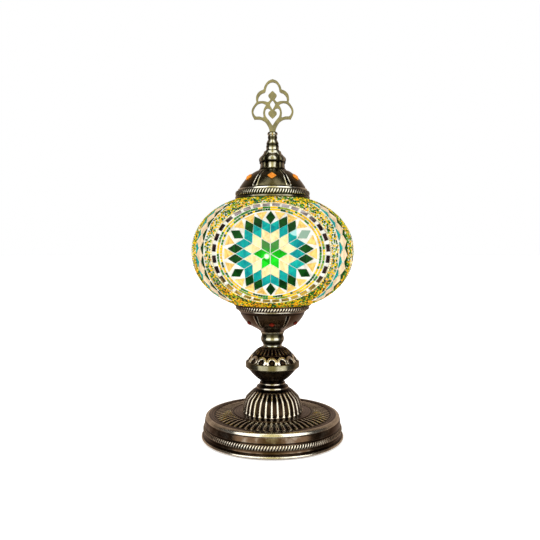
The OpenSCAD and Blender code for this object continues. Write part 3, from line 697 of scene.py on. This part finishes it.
def strand_rows(rng):
    """For each colour, its beads' medallion angle, radius and angle round the medallion."""
    rows = {"yellow": [], "olive": [], "green": [], "dark_green": [], "cream": []}
    for angle in MEDALLIONS:
        for radius, mix in STRANDS:
            count = round(TAU * radius / STRAND_STEP)
            colour, left = "yellow", 0
            for k in range(count):
                if left == 0:
                    colour = rng.choice(mix)
                    left = rng.integers(1, 3)
                left -= 1
                rows[str(colour)].append((angle, radius, TAU * k / count))
        count = round(TAU * EDGE_STRING / EDGE_STEP)
        rows["cream"] += [(angle, EDGE_STRING, TAU * k / count) for k in range(count)]
    return rows


def make_strands(mats, rng):
    """Two strings of beads round each medallion and a fine pale one outside its ring of plates. Beads that
    would reach into an opening are left out."""
    for k, (name, row) in enumerate(strand_rows(rng).items()):
        centres, along = [], []
        for angle in MEDALLIONS:
            part = np.array([(radius, t) for a, radius, t in row if a == angle])
            for shift, into in ((0.0, centres), (0.01, along)):
                t = part[:, 1] + shift
                into.append(on_medallion(part[:, :1] * np.stack([np.cos(t), np.sin(t)], -1), angle))
        centres, along = np.concatenate(centres), np.concatenate(along)
        along -= centres
        above = centres[:, 2] - GLOBE_Z
        on_wall = ((above < wall_height(TOP_OPENING_R) - CLEAR_OF_OPENING)
                   & (above > CLEAR_OF_OPENING - wall_height(BOTTOM_OPENING_R)))
        centres, along = centres[on_wall], along[on_wall]
        sunk = centres - outward(centres) * STRAND_SINK
        size = 0.8 if name == "cream" else 1.0
        beads("strand_beads_" + name, mats[name], sunk, along, size, 40 + k, 8,
              ("bead_strands",) if k == 0 else (), STRAND_LENGTH, STRAND_RADIUS)


# ---------------------------------------------------------------- metal reliefs

# Each relief takes radius, height and angle round the axis. It gives how far out points move, and their wear,
# which on some parts also holds painted highlights and painted shade.

SHELL_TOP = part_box("base_shell")[1].z
BELL_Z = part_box("bell_foot")[0].z
KNOP_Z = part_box("knop_lower")[0].z
UPPER_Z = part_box("knop_upper")[0].z
CUP_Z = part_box("lower_cup")[0].z
CAP_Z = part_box("top_cap")[0].z
COLLAR_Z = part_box("cap_collar")[0].z
WALL_R = 69.4 * MM
GADROONS = 58
BELL_RIBS = 30
ARCHES = 14
KNOP_FLUTES = 28
PANEL_ANGLE = math.pi / 3
COLLAR_H = 17.8 * MM


def base_relief(r, z, t):
    """A ring of gadroons on the top, with turned lines on both sides of it and on the wall."""
    top = np.clip((z - SHELL_TOP + 4.0 * MM) / (0.4 * MM), 0, 1)
    ring = window(r, 41.0 * MM, 57.2 * MM, 2.4 * MM) * top
    rib = np.clip(1.25 * ridge(t, GADROONS, 1.4), 0, 1)
    radii_and_depths = ((63.2, 0.5), (60.4, 0.8), (58.0, 1.0), (39.2, 1.0), (36.4, 0.6), (33.4, 0.5))
    lines = sum(line_at(r, c * MM, 0.36 * MM) * d for c, d in radii_and_depths) * top
    side = (r > WALL_R - 2.2 * MM) * (line_at(z, 13.3 * MM, 0.4 * MM) + line_at(z, 6.9 * MM, 0.4 * MM)
                                      + 1.3 * line_at(z, 4.1 * MM, 0.5 * MM))
    # Partly rubbed edges and partly a painted highlight: the shoulder and the flange's rim are made brighter
    # all round.
    shoulder = (r > 63.8 * MM) * window(z, 19.9 * MM, 23.6 * MM, 0.6 * MM)
    edges = shoulder + (z < 3.6 * MM) * (r > WALL_R + 0.6 * MM)
    depth = ring * (1 - rib) * 1.1 * MM + (lines + side) * 0.45 * MM
    wear = 0.5 + 0.35 * edges - 0.5 * ring + ring * rib ** 1.3 * 1.05 - 0.5 * np.clip(lines + side, 0, 1)
    return -depth, np.clip(wear, 0, 1)


def bell_relief(r, z, t):
    """Ribs down the bell with a scoop between them, and round the neck painted shade in three dark lines and
    painted highlights in two bright bands, with no relief under them from this function.
    """
    up = z - BELL_Z
    body = window(up, 0.9 * MM, 21.6 * MM, 1.6 * MM) * (r > 17.6 * MM)
    rib = ridge(t, BELL_RIBS, 1.3)
    scoop = ridge(t, BELL_RIBS, 3.0, math.pi) * window(up, 2.5 * MM, 14 * MM, 5 * MM)
    foot = line_at(up, 0.4 * MM, 1.0 * MM) * (r > 27 * MM)
    deep = (0.35 + 0.65 * np.clip((r - 17 * MM) / (11 * MM), 0, 1)) * 1.7 * MM
    # Painted shade: dark lines round the neck, which this relief doesn't cut.
    neck = sum(line_at(up, c * MM, 0.8 * MM) for c in (22.6, 26.5, 30.2)) * (r > 9 * MM)
    # Painted highlights: bright bands round the neck, which this relief doesn't raise.
    rings = sum(line_at(up, c * MM, 0.9 * MM) for c in (24.5, 28.4)) * (r > 9 * MM)
    out = -body * (1 - rib) * deep * (1 - 0.35 * scoop) + foot * (rib * 0.9 - 0.2) * MM
    wear = (0.5 - 0.5 * body + body * (rib ** 1.5 + 0.22 * scoop) + 0.5 * foot * rib
            - 0.5 * neck + 0.3 * rings)
    return out, np.clip(wear, 0, 1)


def from_arch(t, r, shift=0.0):
    """How far round the knop points lie from the middle of their arch."""
    return ((t * ARCHES / TAU + shift) % 1.0 - 0.5) * TAU / ARCHES * r


def knop_relief(r, z, t):
    """A row of arches over the bright band, and flutes above them."""
    up = z - UPPER_Z
    d = np.hypot(from_arch(t, r), (up - 1.8 * MM) * 1.05)
    arch = window(d, 3.0 * MM, 5.5 * MM, 0.5 * MM)
    moat = window(d, 1.7 * MM, 2.9 * MM, 0.5 * MM)
    row = window(up, -1 * MM, 7.8 * MM, 0.5 * MM) * (r > 17 * MM)
    flutes = window(up, 8.2 * MM, 13.4 * MM, 0.8 * MM) * (r > 10.5 * MM)
    rib = ridge(t, KNOP_FLUTES, 1.6)
    between = row * np.clip(1 - arch - (d < 3.0 * MM), 0, 1)
    boss = row * (d < 2 * MM)
    out = -(row * moat * 1.1 + between * 0.8 + flutes * (1 - rib) * 1.0) * MM + boss * 0.1 * MM
    wear = 0.25 + row * arch * 0.75 - row * (moat + between * 0.9) * 0.3 + flutes * (rib * 0.8 - 0.35)
    return out, np.clip(wear, 0, 1)


def lower_knop_relief(r, z, t):
    """Two lines round each hanging arch, and flutes under them."""
    up = z - KNOP_Z
    d = np.hypot(from_arch(t, r, 0.5), (up - 13.4 * MM) * 1.1)
    arcs = window(d, 3.4 * MM, 3.9 * MM, 0.4 * MM) + window(d, 4.9 * MM, 5.3 * MM, 0.4 * MM)
    arcs = arcs * (r > 14 * MM)
    flutes = window(up, 1.5 * MM, 7.6 * MM, 1.2 * MM) * (r > 9.5 * MM)
    rib = ridge(t, KNOP_FLUTES, 1.5)
    out = -(arcs * 0.35 + flutes * (1 - rib) * 0.45) * MM
    return out, np.clip(0.16 + 0.2 * flutes * rib + 0.1 * arcs, 0, 1)


def panel_grooves(t, r, half_width):
    """A dark groove at each of six panel joints, with a narrow rim on both sides."""
    away = np.abs(((t + math.pi / 2 + PANEL_ANGLE / 2) / PANEL_ANGLE + 0.5) % 1.0 - 0.5) * PANEL_ANGLE * r
    hollow = np.clip((half_width - away) / (0.35 * MM) + 0.5, 0, 1)
    rim = line_at(away, half_width + 0.55 * MM, 0.4 * MM)
    return hollow, rim


def cap_relief(r, z, t):
    """Six panels, a star where they meet the brim, and turned lines on the brim."""
    up = z - CAP_Z
    outer = r > 13 * MM
    panel = window(up, 11.2 * MM, 28.0 * MM, 0.9 * MM) * outer
    half = (0.8 + 0.8 * np.clip((26 * MM - up) / (13 * MM), 0, 1)) * MM
    hollow, rim = panel_grooves(t, r, half)
    star = line_at(up, 11.2 * MM, 1.0 * MM) * (rim + hollow) * outer
    lines = sum(line_at(up, c * MM, 0.4 * MM) for c in (2.5, 7.7, 10.4))
    out = panel * (-hollow * 1.2 + rim * 0.35) * MM + star * 0.3 * MM - lines * 0.25 * MM * outer
    # The bright band round the brim 8.9 mm up is partly a rubbed bead and partly a painted highlight.
    wear = (0.4 + 0.6 * line_at(up, 8.9 * MM, 1.0 * MM) + 0.2 * line_at(up, 1.2 * MM, 0.8 * MM)
            + panel * (rim * 0.6 - hollow * 0.75) + star * 0.7 - 0.5 * lines)
    return out, np.clip(wear, 0, 1)


def cup_relief(r, z, t):
    """Six panels, and turned lines under the rim."""
    up = z - CUP_Z
    outer = (r > 16 * MM) & (up < 20 * MM)
    panel = window(up, 5.6 * MM, 18.2 * MM, 0.9 * MM) * outer
    half = (0.5 + 0.8 * np.clip((up - 6 * MM) / (10 * MM), 0, 1)) * MM
    hollow, rim = panel_grooves(t, r, half)
    lines = line_at(up, 19.6 * MM, 0.5 * MM) + line_at(up, 22.7 * MM, 0.3 * MM)
    out = panel * (-hollow * 1.0 + rim * 0.3) * MM - lines * 0.3 * MM * (r > 25 * MM)
    wear = 0.4 + panel * (rim * 0.4 - hollow * 0.5) - 0.35 * lines + 0.4 * line_at(up, 21.7 * MM, 0.6 * MM)
    return out, np.clip(wear, 0, 1)


def collar_relief(r, z, t):
    """Six lobes with clefts between them, and two turned waists."""
    up = (z - COLLAR_Z) / COLLAR_H
    body = window(up, 0.06, 0.86, 0.14) * (r > 7 * MM)
    away = np.abs(((t + math.pi / 2) / PANEL_ANGLE) % 1.0 - 0.5) * 2
    cleft = (1 - away) ** 3.0 * body
    waist = (line_at(up, 0.39, 0.045) + line_at(up, 0.02, 0.03)) * (r > 7 * MM)
    return -cleft * 1.5 * MM - waist * 0.5 * MM, np.clip(0.7 - 0.85 * cleft - 0.7 * waist, 0, 1)


def lathe_relief(r, z, t):
    """A smooth turning whose metal is lighter and darker in bands about 7 mm apart up its height."""
    return 0.0, 0.5 + 0.25 * np.sin(z * 900.0)


# ---------------------------------------------------------------- the lamp's materials

def make_materials():
    """All materials but the beads', by name."""
    m = {"white_grout": grout_material(), "mirror_plate": mirror_material()}

    def make(kind, name, *values, **settings):
        m[name] = kind(name, *values, **settings)

    make(aged_metal, "dark_bronze", srgb(0.03, 0.02, 0.015), srgb(0.36, 0.28, 0.205), srgb(0.97, 0.94, 0.86))
    make(aged_metal, "olive_brass", srgb(0.025, 0.024, 0.018), srgb(0.40, 0.375, 0.27),
         srgb(0.97, 0.96, 0.88))
    make(aged_metal, "bright_bronze", srgb(0.2, 0.18, 0.13), srgb(0.53, 0.51, 0.41), srgb(0.9, 0.86, 0.76),
         polish=0.1)
    make(plain_metal, "pale_brass", srgb(0.60, 0.575, 0.44), 0.36, (900, 900, 60))
    make(plain_metal, "zinc_steel", srgb(0.80, 0.81, 0.83), 0.28)
    make(plain_metal, "yellow_brass", srgb(0.87, 0.72, 0.40), 0.25)
    make(plain_metal, "cap_aluminium", srgb(0.88, 0.88, 0.90), 0.22, (30, 30, 3000))
    make(moulded, "ballast_iron", srgb(0.20, 0.20, 0.21), 0.7, 500, 0.7, Metallic=0.6)
    make(moulded, "cover_steel", srgb(0.13, 0.13, 0.14), 0.4, 900, 0.15, Coat_Weight=0.3)
    make(moulded, "pad_rubber", srgb(0.12, 0.12, 0.12), 0.85, 1300, 0.9)
    make(moulded, "bushing_plastic", srgb(0.10, 0.10, 0.10), 0.4)
    make(moulded, "holder_plastic", srgb(0.90, 0.89, 0.85), 0.35, tint=0.93)
    make(moulded, "insulator_black", srgb(0.07, 0.07, 0.07), 0.12, 400, 0.05)
    make(moulded, "housing_white", srgb(0.94, 0.94, 0.92), 0.4, tint=0.95)
    make(moulded, "led_board", srgb(0.95, 0.93, 0.75), 0.35,
         Emission_Color=srgb(1, 0.9, 0.6), Emission_Strength=1.5)
    make(moulded, "opal_diffuser", srgb(0.99, 0.96, 0.88), 0.35, 700, 0.05, tint=0.97,
         Emission_Color=srgb(1, 0.86, 0.58), Emission_Strength=0.4)
    make(moulded, "clear_glass", srgb(0.93, 0.96, 0.92), 0.04, 60, 0.1, tint=0.96,
         Transmission_Weight=0.9, Alpha=0.35)
    # The glow values below are painted glow standing in for the light from inside, and each pale patch is a
    # painted reflection.
    make(stained_glass, "bright_green_glass", srgb(0.01, 0.42, 0.02), srgb(0.08, 0.66, 0.10), bulb_spot=True)
    make(stained_glass, "ivory_glass", srgb(0.82, 0.70, 0.46), srgb(0.95, 0.90, 0.68), 0.12, 260)
    make(stained_glass, "teal_glass", srgb(0.01, 0.42, 0.46), srgb(0.07, 0.66, 0.60), 0.1, 190,
         pale=(srgb(0.62, 0.82, 0.80), 4.6, 16.5, -15.3))
    make(stained_glass, "dark_green_glass", srgb(0.015, 0.11, 0.03), srgb(0.05, 0.29, 0.06), 0.04, 200,
         pale=(srgb(0.55, 0.66, 0.58), 6.0, 22.5, -13.5))
    make(stained_glass, "amber_glass", srgb(0.76, 0.57, 0.27), srgb(0.98, 0.86, 0.50), 0.1, 420)
    make(stained_glass, "peach_glass", srgb(0.74, 0.62, 0.48), srgb(0.96, 0.87, 0.72), 0.05, 300)
    make(stained_glass, "orange_stone", srgb(0.70, 0.32, 0.05), srgb(0.98, 0.66, 0.25), 0.14, 500, 0.1)
    make(stained_glass, "cup_stone", srgb(0.18, 0.03, 0.02), srgb(0.52, 0.16, 0.1), 0.02, 600, 0.1)
    return m


def grout_material():
    """White grout, tinted ochre where its stored value says so, with a faint painted glow at the medallions.
    """
    mat, tree, shader = principled("white_grout", Roughness=0.85)
    where = place_of(tree)
    cloud = noise(tree, where, 160, 5)
    pits = noise(tree, where, 1400, 3)
    tone = ramp(tree, cloud, (0.28, srgb(0.79, 0.78, 0.72)), (0.62, srgb(0.95, 0.945, 0.91)))
    # Ochre where the stored value is high: towards the globe's foot.
    tone = mixed(tree, wear_of(tree), tone, srgb(0.52, 0.42, 0.14))
    tree.links.new(tone, shader.inputs["Base Color"])
    tree.links.new(tone, shader.inputs["Emission Color"])
    # Painted glow: the grout glows faintly near the medallions' centres, as if lit from inside.
    near = medallion_nearness(tree, where, 45, 3)
    tree.links.new(span(tree, near, 0, 1, 0.0, 0.14), shader.inputs["Emission Strength"])
    bump(tree, shader, pits, 0.5, 0.0004)
    return mat


def mirror_material():
    """Cloudy silvered plates with a painted reflection: dark at the medallion's sides, pale over it and gold
    under it.
    """
    mat, tree, shader = principled("mirror_plate", Metallic=0.25)
    where = place_of(tree)
    cloud = noise(tree, where, 200, 5)
    each = calc(tree, "MULTIPLY", one_per_part(tree), 0.65)
    tone = calc(tree, "ADD", calc(tree, "MULTIPLY", cloud, 0.35), each)
    dark = ramp(tree, tone, (0.3, srgb(0.09, 0.05, 0.05)), (0.8, srgb(0.26, 0.18, 0.17)))
    pale = ramp(tree, tone, (0.3, srgb(0.55, 0.50, 0.48)), (0.75, srgb(0.80, 0.76, 0.78)))
    gold = ramp(tree, tone, (0.3, srgb(0.50, 0.42, 0.13)), (0.75, srgb(0.88, 0.72, 0.24)))
    # Painted reflection: the plates' colour goes by height, pale above the globe's middle and gold below it.
    height = above_middle(tree, where)
    colour = mixed(tree, span(tree, height, 28 * MM, 36 * MM), dark, pale)
    colour = mixed(tree, span(tree, height, -22 * MM, -34 * MM), colour, gold)
    tree.links.new(colour, shader.inputs["Base Color"])
    tree.links.new(span(tree, cloud, 0.3, 0.7, 0.05, 0.2), shader.inputs["Roughness"])
    bump(tree, shader, noise(tree, where, 500, 3), 0.2, 0.0003)
    return mat


BEAD_COLOURS = {
    "yellow": (1.0, 0.80, 0.05), "orange": (0.94, 0.64, 0.04), "green": (0.20, 0.52, 0.12),
    "dark_green": (0.03, 0.28, 0.09), "olive": (0.60, 0.68, 0.16), "cream": (0.96, 0.90, 0.72)}

# The CAD nodes that stay as they are, and below them the mosaic's tiles, with their materials
KEPT_NODES = {
    "foot_pad": "pad_rubber", "base_cover": "cover_steel", "base_weight": "ballast_iron",
    "cord_bushing": "bushing_plastic", "pipe_washer": "zinc_steel", "pipe_nut": "yellow_brass",
    "lamp_pipe": "yellow_brass", "holder_locknut": "yellow_brass", "lampholder_base": "holder_plastic",
    "terminal_screws": "zinc_steel", "lampholder_body": "holder_plastic", "lampholder_liner": "yellow_brass",
    "centre_contact": "yellow_brass", "bulb_contact": "cap_aluminium", "bulb_insulator": "insulator_black",
    "bulb_cap": "cap_aluminium", "bulb_housing": "housing_white", "led_board": "led_board",
    "bulb_diffuser": "opal_diffuser", "glass_globe": "clear_glass", "clip_spring": "zinc_steel",
    "finial_stud": "zinc_steel", "stud_nut": "zinc_steel", "finial_pin": "yellow_brass"}

TILE_NODES = {
    "star_tiles": "bright_green_glass", "ivory_tiles": "ivory_glass", "teal_tiles": "teal_glass",
    "dark_green_tiles": "dark_green_glass", "amber_triangles": "amber_glass",
    "ring_mirror_tiles": "mirror_plate", "column_diamonds": "peach_glass",
    "column_teal_triangles": "teal_glass", "column_dark_triangles": "dark_green_glass"}


def make_metalwork(m):
    """The turned metal with its rope borders, the finial's plate and the stones."""
    bronze, olive, bright = m["dark_bronze"], m["olive_brass"], m["bright_bronze"]
    base_at, base_halves = (WALL_R - 1.2 * MM, 10.1 * MM), (1.4 * MM, 2.5 * MM)
    cup_at, cup_halves = (35.5 * MM, CUP_Z + 24.9 * MM), (1.38 * MM, 2.3 * MM)
    cap_at, cap_halves = (35.6 * MM, CAP_Z + 5.1 * MM), (1.4 * MM, 2.5 * MM)
    turned("base_casting", "base_shell", "stand", bronze, 0.85 * MM, 696, base_relief,
           lambda line: pressed_in(line, base_at, base_halves))
    rope("base_rope", "stand", bronze, base_at, base_halves, 160)
    turned("fluted_bell", "bell_foot", "stand", bronze, 0.55 * MM, 480, bell_relief)
    turned("engraved_knop_base", "knop_lower", "stand", bronze, 0.5 * MM, 560,
           lower_knop_relief)
    turned("polished_band", "knop_band", "stand", bright, 0.4 * MM, 256)
    turned("arched_knop_top", "knop_upper", "stand", bronze, 0.4 * MM, 560, knop_relief)
    turned("turned_neck", "neck_baluster", "stand", olive, 0.4 * MM, 192, lathe_relief)
    turned("panelled_cup", "lower_cup", "stand", bronze, 0.6 * MM, 480, cup_relief,
           lambda line: pressed_in(line, cup_at, cup_halves))
    rope("cup_rope_border", "stand", bronze, cup_at, cup_halves, 80)
    turned("panelled_cap", "top_cap", "cap", olive, 0.6 * MM, 480, cap_relief,
           lambda line: pressed_in(line, cap_at, cap_halves))
    rope("cap_rope_border", "cap", olive, cap_at, cap_halves, 84)
    turned("lobed_collar", "cap_collar", "cap", olive, 0.4 * MM, 360, collar_relief)
    # At this angle the cut misses the stem's slot and pin hole
    turned("turned_finial_stem", "finial_stem", "finial", olive, 0.25 * MM, 144, lathe_relief,
           cut=35)
    keep_node("finial_plate", m["pale_brass"], 0.35 * MM, 3, 40)
    keep_node("cap_stones", m["orange_stone"], 0.12 * MM)
    keep_node("cup_stones", m["cup_stone"], 0.1 * MM)


def make_mosaic(m):
    """The tiles, which stay the CAD's own, with the grout and the beads round them."""
    for node, slot in TILE_NODES.items():
        keep_node(node, m[slot], 0.22 * MM, 2, 40)
    make_grout(m["white_grout"])
    make_beads({name: bead_glass("bead_" + name, srgb(*colour)) for name, colour in BEAD_COLOURS.items()})


# ---------------------------------------------------------------- studio

def make_floor():
    """A round floor that reaches past the view, so pale that it meets the white background unseen."""
    mat, tree, shader = principled("studio_floor", Roughness=0.9, Emission_Strength=0.4)
    cloud = noise(tree, place_of(tree), 6, 3)
    tone = ramp(tree, cloud, (0.3, srgb(0.97, 0.97, 0.967)), (0.7, srgb(0.98, 0.98, 0.977)))
    tree.links.new(tone, shader.inputs["Base Color"])
    tree.links.new(tone, shader.inputs["Emission Color"])
    around, radii = 96, np.array([0.4, 2.0, 12.0])
    rings = all_round(radii, np.zeros(len(radii)), np.arange(around) * TAU / around)
    bm = bmesh.new()
    verts = [bm.verts.new(p) for p in np.concatenate([[[0, 0, 0]], rings])]
    for quad in grid_quads(len(radii), around, False) + 1:
        bm.faces.new([verts[i] for i in quad])
    for k in range(around):
        bm.faces.new([verts[0], verts[1 + k], verts[1 + (k + 1) % around]])
    mesh = bpy.data.meshes.new("floor")
    bm.to_mesh(mesh)
    bm.free()
    mesh.materials.append(mat)
    floor = bpy.data.objects.new("floor", mesh)
    bpy.context.scene.collection.objects.link(floor)
    floor.visible_glossy = False


def make_light():
    """Soft even light for the matt surfaces. The metal reflects a bright box in front, with a dimmer, warm
    gap down its middle, and a weak warm light behind. The background itself shows white. front and across are
    the parts of the level heading that point to the front and aside."""
    world = bpy.data.worlds.new("studio")
    bpy.context.scene.world = world
    world.use_nodes = True
    world.cycles.sampling_method = "NONE"
    tree = world.node_tree
    tree.nodes.clear()
    heading = add(tree, "TexCoord", out="Generated")
    x, y, z = (add(tree, "SeparateXYZ", heading, out=axis) for axis in "XYZ")
    level = calc(tree, "SUBTRACT", 1.0, calc(tree, "MULTIPLY", z, z))
    level = calc(tree, "SQRT", calc(tree, "MAXIMUM", level, 0.0004))
    front = calc(tree, "DIVIDE", calc(tree, "MULTIPLY", y, -1.0), level)
    across = calc(tree, "ABSOLUTE", calc(tree, "DIVIDE", x, level))
    height = calc(tree, "MULTIPLY", span(tree, z, -0.45, -0.3), span(tree, z, 0.998, 0.985))
    front_level, gap_drop = 2.25, 1.45
    front_box = calc(tree, "MULTIPLY", span(tree, front, 0.45, 0.48), height)
    gap = calc(tree, "MULTIPLY", span(tree, across, 0.33, 0.28), front_box)
    back = calc(tree, "MULTIPLY", span(tree, front, -0.2, -0.6), span(tree, z, 0.25, 0.7, 0.32, 0.12))
    shine = calc(tree, "ADD", calc(tree, "MULTIPLY", front_box, front_level), back)
    shine = calc(tree, "SUBTRACT", shine, calc(tree, "MULTIPLY", gap, gap_drop))
    shine = calc(tree, "ADD", shine, span(tree, z, -0.35, -0.6, 0.1, 0.4))
    even = calc(tree, "ADD", span(tree, z, -0.4, 1.0, 0.82, 1.22), span(tree, front, 0.0, 1.0, 0.0, 0.15))
    camera = add(tree, "LightPath", out="Is Camera Ray")
    glossy = add(tree, "LightPath", out="Is Glossy Ray")
    even = calc(tree, "MULTIPLY", even, calc(tree, "SUBTRACT", 1.0, glossy))
    strength = calc(tree, "ADD", calc(tree, "MULTIPLY", shine, glossy), even)
    strength = calc(tree, "MULTIPLY", strength, calc(tree, "SUBTRACT", 1.0, camera))
    strength = calc(tree, "ADD", strength, camera)
    warm = mixed(tree, calc(tree, "MULTIPLY", gap, glossy), srgb(1, 1, 1), srgb(1.0, 0.96, 0.72))
    behind = calc(tree, "MULTIPLY", span(tree, front, 0.2, -0.2), glossy)
    warm = mixed(tree, behind, warm, srgb(1.0, 0.88, 0.79))
    background = add(tree, "Background", warm, strength)
    output = tree.nodes.new("ShaderNodeOutputWorld")
    tree.links.new(background, output.inputs["Surface"])
    bpy.context.scene.view_settings.view_transform = "Standard"


materials = make_materials()
make_metalwork(materials)
make_mosaic(materials)
for node_name, slot_name in KEPT_NODES.items():
    keep_node(node_name, materials[slot_name])
make_floor()
make_light()
